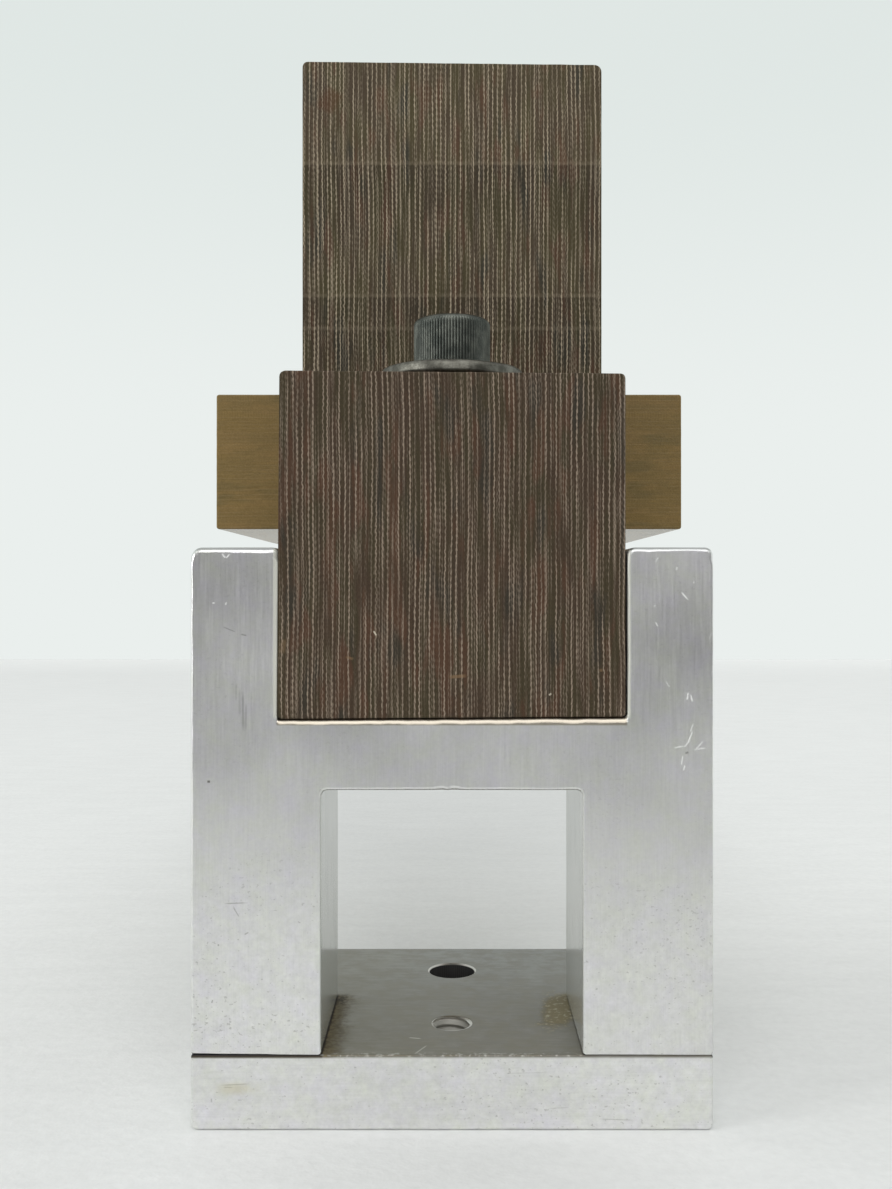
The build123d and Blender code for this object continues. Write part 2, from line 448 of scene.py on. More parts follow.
def saddle_metal():
    """The saddle's metal: scratched legs, smooth window walls, duller edges, painted shade on the right
    leg, a painted dark reflection along the top crest and a painted shadow line at its foot.
    """
    right_leg_scratches = (
        (33.9, 77.8, -49, 1.7, 0.15, 0.9),
        (32.7, 81.8, 80, 0.6, 0.16, 0.6),
        (35.2, 79.8, 0, 0.35, 0.2, 0.6),
        (29.8, 83.1, 50, 1.1, 0.12, 0.5),
        (29.5, 76.4, 20, 0.4, 0.16, 0.5),
        (29.8, 73.7, -62, 0.9, 0.13, 0.7),
        (31.4, 65.0, -57, 1.2, 0.12, 0.45),
        (34.3, 63.2, 80, 1.3, 0.18, 0.85),
        (34.9, 62.9, -75, 1.2, 0.18, 0.8),
        (34.9, 58.6, 70, 1.5, 0.13, 0.7),
        (34.65, 57.2, 67, 2.4, 0.15, 0.85),
        (34.2, 56.3, 50, 1.6, 0.14, 0.7),
        (35.95, 56.0, 48, 2.2, 0.13, 0.7),
        (33.05, 55.85, 13, 1.6, 0.14, 0.75),
        (36.3, 55.6, 8, 1.6, 0.14, 0.65),
        (33.5, 53.9, 82, 1.6, 0.15, 0.8),
        (33.8, 52.8, 76, 0.9, 0.16, 0.85),
        (38.0, 66.9, 62, 1.0, 0.16, 0.4),
        (37.6, 72.0, 70, 1.4, 0.16, 0.3),
    )
    left_leg_nicks = (
        (-33.2, 83.65, -48, 0.95, 0.14, 0.9),
        (-32.6, 83.65, 48, 0.95, 0.14, 0.9),
        (-34.7, 76.8, 0, 0.4, 0.2, 0.6),
        (-32.9, 76.7, 70, 0.5, 0.2, 0.5),
    )
    dark_marks = (
        (-32.4, 72.95, -22, 2.2, 0.12, 0.36),
        (-30.3, 72.15, -14, 1.0, 0.16, 0.42),
        (-30.9, 62.3, 90, 4.6, 0.26, 0.20),
        (-30.4, 61.0, 91, 6.4, 0.24, 0.28),
        (-30.0, 60.2, 89, 4.4, 0.24, 0.20),
        (-31.4, 63.8, 90, 3.0, 0.20, 0.14),
        (-35.4, 50.8, 0, 0.5, 0.24, 0.8),
        (34.2, 55.0, 20, 0.6, 0.2, 0.5),
        (-31.5, 33.1, 2, 3.6, 0.11, 0.45),
        (-31.4, 31.8, -58, 1.9, 0.11, 0.4),
        (-29.9, 28.7, 30, 0.8, 0.14, 0.4),
        (-34.0, 27.0, 0, 0.3, 0.2, 0.5),
        (-34.9, 18.8, 75, 0.6, 0.15, 0.5),
    )
    shader, colour, metal, roughness, normal = aluminium(
        "machined_saddle", (4.2, 0.6, 0.16), saddle_low.y, dark_marks, right_leg_scratches + left_leg_nicks
    )
    x, y, z = shader.x, shader.y, shader.z
    ramp, mix = shader.ramp, shader.mix
    # Painted shade: the right leg is darkened, most in its lower part, where less light falls on that side.
    right_leg_shade = ramp(x, 12.0, 24.0) * ramp(z, web_top, web_top - 22.0)
    colour = mix(right_leg_shade * 0.16, colour, (0.60, 0.59, 0.56))
    inner_wall = ramp(abs(x), window_half + 0.3, window_half + 0.05)
    below_web = ramp(z, web_bottom + 0.3, web_bottom)
    smooth_wall = inner_wall * below_web
    streak = shader.streaks((0.2, 1.6, 0.03), 2.0, 0.6)
    colour = mix(smooth_wall, colour, mix(streak, (0.52, 0.53, 0.50), (0.70, 0.71, 0.68)))
    roughness -= smooth_wall * (0.10 + streak * 0.10)

    front_edge = saddle_low.y
    bevel = ramp(y, front_edge + 1.2, front_edge + 0.9)
    slot_edge = ramp(abs(x), slot_half + 0.1, slot_half - 0.2) * bevel
    slot_edge *= ramp(z, web_top - 1.0, web_top - 0.8)
    slot_edge *= ramp(z, web_top + 0.9, web_top + 0.6)
    colour = mix(slot_edge * 0.85, colour, (0.45, 0.395, 0.305))
    # Painted reflection: a darker grey line along the top crest's front bevel, copying how the rounded edge
    # reflects.
    painted_crest_reflection = ramp(z, saddle_high.z - 0.62, saddle_high.z - 0.30) * bevel
    colour = mix(painted_crest_reflection * 0.8, colour, (0.36, 0.38, 0.37))
    rim_reach = abs(abs(x) - (slot_half + 0.1))
    slot_rim = ramp(rim_reach, 0.50, 0.25) * ramp(z, web_top, web_top + 0.4)
    slot_rim *= ramp(y, front_edge + 0.7, front_edge + 0.4)
    colour = mix(slot_rim * 0.8, colour, (0.60, 0.60, 0.52))
    # Painted shadow: a near-black line at the saddle's foot, for the shade in the gap above the plate.
    foot = ramp(z, saddle_low.z + 0.42, saddle_low.z + 0.2)
    foot *= ramp(y, front_edge + 0.02, front_edge + 0.07)
    colour = mix(foot * 0.95, colour, (0.02, 0.016, 0.02))
    metal *= 1.0 - shader.strongest(foot, slot_rim * 0.8, smooth_wall * 0.4)
    return shader.finish(Base_Color=colour, Metallic=metal, Roughness=roughness, Normal=normal)


def hole_reach(shader, y):
    """Distance from the axis of a vertical hole on the plate's centreline."""
    dy = shader.y - y
    return shader.math("SQRT", shader.x * shader.x + dy * dy)


def plate_grime(shader, dirt, fine_dirt):
    """Masks for the plate's top: brown stain and black line by the left leg, tan patch by the right leg."""
    x, y, ramp = shader.x, shader.y, shader.ramp
    under_saddle = ramp(y, saddle_high.y + 1.2, saddle_high.y - 1.0)
    left_gap = x + window_half
    stain_reach = -1.2 + (dirt + fine_dirt) * 5.2
    stain = ramp(left_gap, stain_reach, 0.1) * under_saddle
    joint = ramp(left_gap, -0.25 + fine_dirt * 1.25, 0.04)
    joint *= under_saddle
    corner_x = abs(left_gap - 0.7)
    corner_y = abs(y - (saddle_high.y - 2.2))
    corner = ramp(corner_x, 1.6, 0.2) * ramp(corner_y, 3.6, 0.6)
    joint = shader.strongest(joint, corner * ramp(fine_dirt, 0.35, 0.6))

    right_gap = window_half - x
    lean = (y + 6.0) * 0.16
    across = abs(right_gap - 1.7 + lean)
    depth = abs(y + 7.0)
    patch = ramp(across, 5.4, 0.2) * ramp(depth, 14.0, 2.0)
    ragged = (fine_dirt + dirt - 1.0) * 0.9
    patch = ramp(patch + ragged, 0.30, 0.85)
    return stain, joint, patch


def paint_plate_top(shader, colour, top, dirt, fine_dirt):
    """The plate's top: a dull film, lighter toward the back by painted light, with grime and two scratches.
    """
    ramp, mix = shader.ramp, shader.mix
    rolled = shader.streaks((0.25, 1.3, 1.0), 3.0, 0.6)
    film = 0.80 + (dirt + rolled) * 0.18
    # Painted light: the top's tone lightens toward the back, which lies less in the saddle's shade.
    painted_rear_light = ramp(shader.y, -8.0, 22.0)
    tone = mix(painted_rear_light, (0.140, 0.129, 0.098), (0.222, 0.222, 0.200))
    tone = mix(ramp(dirt, 0.42, 0.62, 0.0, 0.45), tone, (0.168, 0.150, 0.100))
    tone = mix(ramp(rolled, 0.50, 0.66, 0.0, 0.30), tone, (0.180, 0.168, 0.158))
    tone = mix(ramp(shader.x, 2.0, -17.0, 0.0, 0.5), tone, (0.160, 0.146, 0.094))
    colour = mix(top * film, colour, tone)

    stain, joint, patch = plate_grime(shader, dirt, fine_dirt)
    brown = mix(ramp(fine_dirt, 0.42, 0.60), (0.175, 0.138, 0.062), (0.085, 0.060, 0.026))
    flakes = patch * ramp(fine_dirt, 0.53, 0.62)
    scratches = strongest_mark(
        shader, ((-5.6, -18.9, -12, 2.2, 0.22, 0.6), (-4.6, -23.4, 62, 4.2, 0.16, 0.5)), shader.y
    )
    for share, tint in (
        (stain * 0.8, brown),
        (joint * 0.95, (0.022, 0.014, 0.006)),
        (patch * 0.75, (0.28, 0.235, 0.125)),
        (flakes * 0.6, (0.56, 0.54, 0.42)),
        (scratches, (0.60, 0.59, 0.52)),
    ):
        colour = mix(top * share, colour, tint)
    return colour, shader.strongest(stain, joint, patch)


def plate_metal():
    """The plate's metal: a dull top, a painted shadow line under each leg, a faint smear in front, dark
    holes.
    """
    dark_marks = (
        (-31.6, 6.7, 3, 4.6, 0.12, 0.35),
        (-32.6, 6.3, -3, 1.6, 0.13, 0.35),
        (-35.0, 4.4, 90, 0.7, 0.16, 0.35),
        (15.6, 3.3, 2, 3.4, 0.10, 0.25),
        (24.0, 1.6, -2, 5.5, 0.10, 0.3),
        (11.0, 8.4, 1, 7.0, 0.08, 0.2),
    )
    shader, colour, metal, roughness, normal = aluminium(
        "machined_plate", (0.14, 0.8, 3.4), plate_low.y, dark_marks
    )
    x, y, z = shader.x, shader.y, shader.z
    ramp, mix = shader.ramp, shader.mix
    dirt = shader.patches(0.30, 4.0, 0.6)
    fine_dirt = shader.patches(1.1, 4.0, 0.7)
    top = ramp(z, plate_high.z - 0.6, plate_high.z - 0.12)
    colour, dirty = paint_plate_top(shader, colour, top, dirt, fine_dirt)

    under_leg = ramp(abs(x), window_half - 0.1, window_half + 0.4)
    # Painted shadow: the plate's top is near-black under each leg, for the shade in the gap where the leg
    # meets it.
    groove = under_leg * top * ramp(y, saddle_low.y - 0.02, saddle_low.y + 0.08)
    groove *= ramp(y, saddle_high.y + 0.3, saddle_high.y)
    colour = mix(groove, colour, (0.012, 0.010, 0.012))

    front_lip = ramp(y, plate_low.y + 1.3, plate_low.y + 0.2)
    scuffs = front_lip * top * ramp(fine_dirt, 0.50, 0.66) * (1.0 - under_leg)
    colour = mix(scuffs * 0.6, colour, (0.60, 0.60, 0.55))

    smear = ramp(abs(x + 31.3), 4.2, 0.8) * ramp(abs(z - 6.1), 1.4, 0.1)
    smear *= ramp(dirt, 0.30, 0.55) * ramp(y, plate_low.y + 1.6, plate_low.y + 0.6)
    colour = mix(smear * 0.42, colour, (0.60, 0.54, 0.33))

    bench_reach = hole_reach(shader, bench_hole_y)
    thread_reach = hole_reach(shader, thread_hole_y)
    rims = shader.strongest(
        ramp(bench_reach, bench_mouth_radius + 0.08, bench_mouth_radius),
        ramp(thread_reach, thread_bore_radius - 0.08, thread_bore_radius - 0.16),
    )
    bore = ramp(bench_reach, bench_hole_radius + 0.06, bench_hole_radius - 0.02)
    bore *= ramp(z, plate_high.z - 0.22, plate_high.z - 0.32)
    tapped = ramp(thread_reach, thread_bore_radius - 0.1, thread_bore_radius - 0.2)
    tapped *= ramp(z, plate_high.z - 0.3, plate_high.z - 0.6)
    colour = mix(rims, colour, (0.60, 0.58, 0.54))
    colour = mix(bore, colour, (0.012, 0.012, 0.014))
    colour = mix(tapped, colour, (0.44, 0.43, 0.39))

    dull = top * shader.strongest(dirty * 0.9, 0.7) * (1.0 - rims)
    metal *= 1.0 - shader.strongest(dull, groove, bore * 0.6, tapped * 0.4)
    roughness += shader.strongest(dirty * top, tapped) * 0.35
    return shader.finish(Base_Color=colour, Metallic=metal, Roughness=roughness, Normal=normal)


def ply_edges(shader, depth, per_mm, evenness):
    """Distance to the nearest line between plies; depth runs through the stack."""
    return shader.node(
        "ShaderNodeTexVoronoi",
        {"W": depth, "Scale": per_mm, "Randomness": 1.0 - evenness},
        voronoi_dimensions="1D",
        feature="DISTANCE_TO_EDGE",
    )


def laminate(name, layers, tones, line_tone, front, passes=(), marks=(), gloss=0.6, contrast=1.0):
    """Cloth-reinforced phenolic: resin and cloth layers stacked along one axis, "x" or "z".

    tones are four resin colours that blend in long patches; line_tone is the cut cloth's colour.
    A pass is (z, darkening, fade): a cutter's step, darker just below z and fading over fade millimetres,
    with a painted highlight line just above z.
    marks are (colour, list of marks) pairs on the face at Y = front.
    """
    shader = Shader(name)
    ramp, mix = shader.ramp, shader.mix
    facing = shader.split(shader.node("ShaderNodeTexCoord", {}, "Normal"))
    if layers == "x":
        across, along, outward = shader.x, shader.z, facing[0]
    else:
        across, along, outward = shader.z, shader.x, facing[2]
    ply_face = ramp(abs(outward), 0.70, 0.95)

    def field(per_across, per_y, per_along, offset=0.0, detail=2.0, roughness=0.55):
        """Noise with its own stretch through the stack, along Y and along the plies."""
        place = shader.combine(across * per_across + offset, shader.y * per_y, along * per_along)
        return shader.noise(place, 1.0, detail, roughness)

    # Threads: the plies drift and bend, and each ply's weave has a phase of its own.
    bend = field(0.9, 0.6, 0.75, detail=1.0)
    depth = across + (field(0.035, 0.02, 0.03) - 0.5) * 1.2 + (bend - 0.5) * 0.22
    phase = shader.noise(shader.combine(depth * 0.9, 4.0, 0.0), 1.0, 0.0) * 60.0
    depth += shader.sine(along * 6.3 + phase) * 0.04
    thread = shader.sine(along * 12.6 + phase)
    weave = thread + shader.sine(shader.y * 9.0 + phase)
    canvas = shader.sine(along * 8.4 + bend * 2.0) * shader.sine(shader.y * 8.4 + bend * 2.0) * ply_face

    # Cut cloth: strong lines that come and go, and a finer set between them.
    width = 0.11 + field(2.2, 1.0, 1.7) * 0.10
    strength = ramp(field(1.35, 0.05, 0.045, roughness=0.75), 0.36, 0.60, 0.06, 1.0)
    cloth = ramp(ply_edges(shader, depth, 1.30, 0.35), width, width * 0.4)
    cloth = cloth * strength * (0.90 + thread * 0.10)
    fine = ramp(ply_edges(shader, depth, 2.75, 0.2), 0.24, 0.08)
    fine *= ramp(field(2.1, 0.05, 0.09, 17.0, roughness=0.7), 0.42, 0.68, 0.0, 0.5)
    cloth = shader.strongest(cloth, fine) * (1.0 - ply_face)

    # Resin: four tones in long patches, weaker where a whole ply faces out.
    spread = 1.0 - ply_face * 0.75
    third = ramp(field(0.42, 0.07, 0.09, 31.0), 0.52, 0.66) * spread
    fourth = ramp(field(0.30, 0.07, 0.07, 57.0), 0.56, 0.70) * spread
    resin = mix(ramp(field(0.33, 0.08, 0.06), 0.40, 0.60), tones[0], tones[1])
    resin = mix(third, resin, tones[2])
    resin = mix(fourth, resin, tones[3])
    grain = shader.patches(3.4, 3.0, 0.7)
    shade = 0.50 + field(4.6, 0.4, 0.4) * 0.34 + grain * 0.62 + weave * 0.04 + canvas * 0.24

    milled = ramp(shader.y, front + 3.0, front + 0.6)
    # Painted highlight: a thin lighter line just above each cutter step, as if a fine ridge caught the
    # light.
    ridge_highlights = 0.0
    for step, darkening, fade in passes:
        below = ramp(shader.z, step + 0.15, step - 0.15) * milled
        below *= ramp(shader.z, step - fade, step, 0.3, 1.0)
        shade *= 1.0 - below * darkening
        ridge_highlights += ramp(abs(shader.z - (step + 0.25)), 0.5, 0.1)

    resin = mix(1.0, resin, shader.combine(shade, shade, shade), "MULTIPLY")
    colour = mix(cloth * (0.9 * contrast), resin, line_tone)
    colour = mix(ridge_highlights * milled * grain * 0.17, colour, line_tone)
    for tint, group in marks:
        colour = mix(front_marks(shader, group, front), colour, tint)
    height = cloth * 0.6 + grain * 0.4 + weave * 0.06 + canvas * 0.35
    return shader.finish(
        Base_Color=colour,
        Roughness=gloss + (grain - 0.5) * 0.14,
        Specular_IOR_Level=0.14,
        Normal=shader.bump(height, 0.25, 0.00008),
    )


def black_oxide():
    """Blackened screws, cloudy and faintly grained."""
    shader = Shader("black_oxide_steel")
    cloud = shader.patches(0.45, 3.0, 0.6)
    grain = shader.patches(5.0, 2.0, 0.6)
    return shader.finish(
        Base_Color=shader.mix(
            shader.ramp(cloud, 0.35, 0.7), (0.060, 0.068, 0.059), (0.135, 0.144, 0.124)
        ),
        Metallic=0.75,
        Roughness=0.33 + (grain - 0.5) * 0.22,
        Normal=shader.bump(grain, 0.2, 0.00005),
    )


def washer_metal():
    """Dull grey steel with brownish flecks."""
    shader = Shader("dull_washer_steel")
    cloud = shader.patches(0.5, 4.0, 0.7)
    grain = shader.patches(4.2, 3.0, 0.7)
    colour = shader.mix(shader.ramp(cloud, 0.35, 0.68), (0.092, 0.089, 0.074), (0.21, 0.205, 0.175))
    colour = shader.mix(shader.ramp(grain, 0.55, 0.75, 0.0, 0.5), colour, (0.16, 0.14, 0.11))
    return shader.finish(
        Base_Color=colour,
        Metallic=0.9,
        Roughness=0.40 + (grain - 0.5) * 0.5,
        Normal=shader.bump(grain, 0.4, 0.00008),
    )


def dowel_metal():
    """Ground steel, ringed along its length."""
    shader = Shader("ground_dowel_steel")
    rings = shader.streaks((0.3, 6.0, 0.3), 2.0, 0.5)
    return shader.finish(
        Base_Color=shader.mix(rings, (0.42, 0.42, 0.41), (0.6, 0.6, 0.59)),
        Metallic=1.0,
        Roughness=shader.ramp(rings, 0.3, 0.7, 0.22, 0.34),
        Normal=shader.bump(rings, 0.1, 0.00003),
    )


def floor_paper():
    """Pale paper, lighter far away and to the right; painted shade makes it darker near the viewer, and a
    painted shadow darkens it behind the object.
    """
    shader = Shader("pale_floor")
    cloud = shader.patches(0.006, 3.0, 0.5)
    streak = shader.streaks((0.05, 0.16, 1.0), 3.0, 0.6)
    fleck = shader.patches(0.55, 2.0, 0.6)
    level = 0.76 + (cloud - 0.5) * 0.05 + (streak - 0.5) * 0.08 + (fleck - 0.5) * 0.09
    level += shader.ramp(shader.y, 860.0, 1110.0, 0.0, 0.062)
    level += shader.ramp(shader.x, 0.0, 160.0, 0.0, 0.035)
    # Painted shade: the floor grows much darker towards the viewer, in place of a light that falls off in
    # front.
    level -= shader.ramp(shader.y, -140.0, -340.0, 0.0, 0.50)
    # Painted shadow: a soft darker patch on the floor behind the object.
    painted_shadow = shader.ramp(abs(shader.x), 100.0, 40.0)
    painted_shadow *= shader.ramp(shader.y, 100.0, 250.0) * shader.ramp(shader.y, 560.0, 340.0)
    level -= painted_shadow * 0.11
    return shader.finish(
        Base_Color=shader.node("ShaderNodeCombineColor", {0: level, 1: level * 1.012, 2: level}),
        Roughness=0.6,
        Specular_IOR_Level=0.3,
        Normal=shader.bump(fleck, 0.25, 0.0006),
    )


# ---------------- saddle and plate

def saddle_break(point, normal, end):
    """Hand-filed edge width round the saddle, in millimetres."""
    x, z = point
    seed = 1.0 if end == "front" else 2.0
    run = x if abs(normal.y) > 0.7 else z
    ripple = 1.0 + 0.22 * wave(seed, run + 40 * normal.x, 4.5) + 0.14 * wave(seed + 4, run, 1.3)
    if z > saddle_high.z - 2.0:
        width = 0.80 if x < 0 else 0.62
    elif normal.y > 0.7:
        width = 0.98
    elif abs(x) > slot_half + 5 and abs(normal.x) > 0.7:
        width = 0.50 if x < 0 else 0.34
    elif z > web_top - 0.5:
        share = (z - web_top) / (saddle_high.z - web_top)
        width = 0.26 if x < 0 else 0.38 + 0.26 * math.sin(math.pi * min(1.0, max(0.0, share)))
    elif z < plate_high.z + 1.0:
        outward = (abs(x) - window_half) / (saddle_high.x - window_half)
        width = 0.10 + 0.34 * outward if x < 0 else 0.18 - 0.08 * outward
    elif normal.y < -0.7:
        width = 0.46
        for nick_x in (-1.6, 0.3):
            width += 0.42 * math.exp(-((x - nick_x) / 0.55) ** 2)
    else:
        width = 0.36
    return width * ripple


def make_saddle(material):
    """The H-shaped block: a window below its web, a slot above, and the screw's hole in the web."""
    top, foot = saddle_high.z, saddle_low.z
    slot_lean = 0.26
    slot_closer = 0.08
    corners = [
        (saddle_low.x, foot, 0.5),
        (-window_half, foot, 0.5),
        (-window_half, web_bottom, 0.9),
        (window_half, web_bottom, 0.9),
        (window_half, foot, 0.5),
        (saddle_high.x, foot, 0.5),
        (saddle_high.x, top, 1.2),
        (slot_half, top, 1.2),
        (slot_half, web_top + floor_rise, 0.35),
        (-slot_half + slot_closer, web_top, 0.35),
        (-slot_half + slot_lean, top, 0.85),
        (saddle_low.x, top, 1.6),
    ]
    mesh = profile_mesh("saddle_body", corners, saddle_low.y, saddle_high.y, saddle_break)
    piece = new_piece(mesh, "base_saddle", material)
    bore, mouth = 4.02, 4.9
    hole = [(bore, web_bottom - 2), (bore, web_top - 0.45), (mouth, web_top + 0.43), (mouth, web_top + 2)]
    cut(piece, drill("web_hole", clamp_x, clamp_y, hole))
    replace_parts(piece, "saddle")


def plate_break(point, normal, end):
    """The plate's edge width, narrow along its top."""
    x, z = point
    seed = 11.0 if end == "front" else 12.0
    run = x if abs(normal.y) > 0.7 else z
    ripple = 1.0 + 0.25 * wave(seed, run, 5.0) + 0.12 * wave(seed + 3, run, 1.4)
    width = 0.17 if normal.y > 0.5 else 0.5
    return width * ripple


def make_plate(material):
    """The plate with its bench hole, its tapped hole and a counterbore for each saddle screw."""
    corners = block_outline(plate_low, plate_high, (0.9, 0.9, 0.5, 0.5))
    mesh = profile_mesh("plate_body", corners, plate_low.y, plate_high.y, plate_break)
    piece = new_piece(mesh, "base_saddle", material)
    top = plate_high.z
    bench_hole = [
        (4.5, -1),
        (4.5, 0),
        (bench_hole_radius, 0.4),
        (bench_hole_radius, top - 0.22),
        (bench_mouth_radius, top),
        (bench_mouth_radius, top + 1),
    ]
    cut(piece, drill("bench_hole", 0, bench_hole_y, bench_hole))
    thread_hole = [(thread_bore_radius, z) for z in (-1, top - 0.35, top + 1)]
    cut(piece, drill("thread_hole", 0, thread_hole_y, thread_hole))
    for number in range(1, 5):
        low, high = box_mm(f"saddle_screw_{number}")
        centre = (low + high) / 2
        bore = [(4.5, -1), (4.4, 0.2), (4.4, 5.6), (2.6, 5.6), (2.6, top + 1)]
        cut(piece, drill("counterbore", centre.x, centre.y, bore))
    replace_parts(piece, "base_plate")


def make_thread_wall(material):
    """The tapped hole's threaded wall: a tube with a helical ridge inside, a bevel at each mouth."""
    columns = 64
    pitch = INCH / 20
    outer = 3.31
    minor = 2.6
    ridge_height = 0.55
    mouth = 2.98
    bevel = 0.4
    layers = 84
    top = plate_high.z - 0.02
    foot = 0.02

    def inner_radius(angle, height):
        turn = (height / pitch - angle / (2 * math.pi)) % 1.0
        ridge = min(1.0, max(0.0, abs(2 * turn - 1) * 1.25 - 0.12))
        radius = minor + ridge_height * ridge
        edge = min(height - foot, top - height)
        if edge < 0.05:
            radius = max(radius, mouth + (bevel - edge) * 0.2)
        elif edge < bevel:
            radius = max(radius, mouth - edge)
        return min(radius, outer - 0.02)

    rings = [circle_ring(outer, foot, columns)]
    for layer in range(layers + 1):
        height = foot + (top - foot) * layer / layers
        rings.append(circle_ring(lambda a: inner_radius(a, height), height, columns))
    rings.append(circle_ring(outer, top, columns))
    work = bmesh.new()
    skin(work, rings, closed=True)
    bmesh.ops.translate(work, vec=(0, thread_hole_y, 0), verts=work.verts)
    mesh = mesh_from(work, "tapped_hole_wall")
    new_piece(mesh, "base_saddle", material, 60)


# ---------------- phenolic blocks

def sawn_break(width, seed):
    """An edge-width function for a sawn block: narrow, and a little ragged."""
    def edge(point, normal, end):
        run = point.x if abs(normal.y) > 0.7 else point.y
        start = seed if end == "front" else seed + 9
        return width * (1.0 + 0.30 * wave(start, run, 2.6) + 0.22 * wave(start + 2, run, 0.9))
    return edge


def front_block_break(point, normal, end):
    """Sawn edges, crisp down the left side where the block meets the saddle."""
    width = sawn_break(0.28, 21)(point, normal, end)
    return width * 0.35 if normal.x < -0.7 else width


def make_front_block(material):
    """The front block, drilled for the clamp screw."""
    corners = block_outline(
        block_low, block_high, (0.7, 0.5, 0.7, 0.9), lean=0.36, rise=floor_rise, fall=0.45
    )
    mesh = profile_mesh("front_block_body", corners, block_low.y, block_high.y, front_block_break)
    piece = new_piece(mesh, "block_assembly", material)
    foot, top = block_low.z, block_high.z
    hole = [(4.4, foot - 1), (4.2, foot + 0.2), (4.2, top - 0.2), (4.5, top + 1)]
    cut(piece, drill("clamp_hole", clamp_x, clamp_y, hole))
    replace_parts(piece, "front_block")


def make_upright(material):
    """The taller block behind the front block, its top falling a little to the right."""
    corners = block_outline(upright_low, upright_high, (0.7, 0.7, 1.2, 0.9), fall=0.55)
    mesh = profile_mesh("upright_body", corners, upright_low.y, upright_high.y, sawn_break(0.26, 31))
    piece = new_piece(mesh, "block_assembly", material)
    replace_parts(piece, "upright")


def make_slab(material):
    """The wide slab at the back."""
    corners = block_outline(slab_low, slab_high, (0.5, 0.5, 0.5, 0.5))
    mesh = profile_mesh("slab_body", corners, slab_low.y, slab_high.y, sawn_break(0.3, 41))
    piece = new_piece(mesh, "block_assembly", material)
    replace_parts(piece, "slab")


# ---------------- screws and washers

def hexagon_radius(angle, width):
    """Distance from the axis to a hexagon's side; width is across its flats."""
    sector = math.pi / 3
    from_flat = (angle % sector) - sector / 2
    return width / 2 / math.cos(from_flat)


def screw_head_rings(radius, height, socket_width, socket_depth, teeth):
    """Rings of a knurled socket head, from the socket's floor out over the rim to the seat."""
    columns = teeth * 6
    crown = 0.16 * radius
    tooth = 0.018 * radius

    def hexagon(z, scale=1.0):
        return circle_ring(lambda a: hexagon_radius(a, socket_width) * scale, z, columns)

    def knurl(ring_radius, z, share):
        def radius_at(angle):
            place = angle * teeth / (2 * math.pi) % 1.0
            groove = max(0.0, 1.0 - abs(2 * place - 1) * 2.2)
            return ring_radius - tooth * 2.0 * groove * share
        return circle_ring(radius_at, z, columns)

    rings = [
        hexagon(height - socket_depth - 0.5, 0.25),
        hexagon(height - socket_depth, 0.98),
        hexagon(height - 0.35),
        hexagon(height - 0.08, 1.05),
        circle_ring(radius - crown * 1.9, height, columns),
    ]
    for step in range(7):
        angle = math.pi / 2 * step / 6
        z = height - crown * (1 - math.cos(angle))
        rings.append(knurl(radius - crown * (1 - math.sin(angle)), z, max(0.0, step / 6 - 0.5)))
    rings += [
        knurl(radius, height - crown - 0.35, 1.0),
        knurl(radius, height * 0.5, 1.0),
        knurl(radius, 0.75, 1.0),
        knurl(radius - 0.05, 0.35, 0.4),
        knurl(radius - 0.18, 0.0, 0.0),
        circle_ring(radius * 0.55, 0.0, columns),
    ]
    return rings


def threaded_shank_rings(radius, length, pitch, thread_length, columns):
    """Rings of a shank: plain under the head, a helical thread below, a tapered tip."""
    rings = [circle_ring(radius * 0.98, 0.3, columns)]
    plain = length - thread_length
    rings.append(circle_ring(radius * 0.985, -plain + 0.1, columns))
    steps = math.ceil(thread_length / pitch * 9)

    def radius_at(angle, depth):
        turn = (depth / pitch + angle / (2 * math.pi)) % 1.0
        groove = min(1.0, max(0.0, 1.16 - abs(2 * turn - 1) * 1.32))
        entry = min(1.0, depth / pitch)
        tip = max(0.0, 1.0 - (thread_length - depth) / (pitch * 0.8))
        return radius - 0.56 * pitch * groove * entry - 0.5 * pitch * tip * (1 - groove)

    for step in range(steps + 1):
        depth = thread_length * step / steps
        rings.append(circle_ring(lambda a: radius_at(a, depth), -plain - depth, columns))
    return rings


def standing(x, y, seat):
    """A move that seats an upright screw or washer at height seat."""
    return lambda co: co + Vector((x, y, seat))


def hanging(centre, seat):
    """A move that turns a screw head down, its seat at height seat."""
    return lambda co: Vector((centre.x + co.x, centre.y - co.y, seat - co.z))


def facing_back(centre, seat):
    """A move that turns a screw's head or a washer's top to the back, its seat at Y = seat."""
    return lambda co: Vector((centre.x + co.x, seat + co.z, centre.z - co.y))


def make_cap_screw(node, body, head, shank, move, material):
    """A screw in place of its CAD node, from its head and shank rings; move puts its points in place."""
    work = bmesh.new()
    capped_skin(work, head)
    capped_skin(work, shank)
    for vertex in work.verts:
        vertex.co = move(vertex.co)
    mesh = mesh_from(work, f"{node}_body")
    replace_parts(new_piece(mesh, body, material), node)


def make_clamp_screw(material):
    """The 5/16-18 cap screw that holds the stack down."""
    seat = washer_high.z
    head = screw_head_rings(radius=5.95, height=7.94, socket_width=6.35, socket_depth=4.0, teeth=80)
    shank = threaded_shank_rings(
        radius=3.97, length=seat - screw_low.z, pitch=INCH / 18, thread_length=32.0, columns=48
    )
    move = standing(clamp_x, clamp_y, seat)
    make_cap_screw("clamp_screw", "clamp_screw", head, shank, move, material)


def make_saddle_screws(material):
    """Four #10-24 screws up through the plate, their heads in the counterbores."""
    head_height = 4.8
    for number in range(1, 5):
        node = f"saddle_screw_{number}"
        low, high = box_mm(node)
        seat = low.z + head_height
        head = screw_head_rings(
            radius=3.97, height=head_height, socket_width=3.97, socket_depth=2.4, teeth=54
        )
        shank = threaded_shank_rings(
            radius=2.4, length=high.z - seat, pitch=INCH / 24, thread_length=14.0, columns=32
        )
        move = hanging((low + high) / 2, seat)
        make_cap_screw(node, "base_saddle", head, shank, move, material)


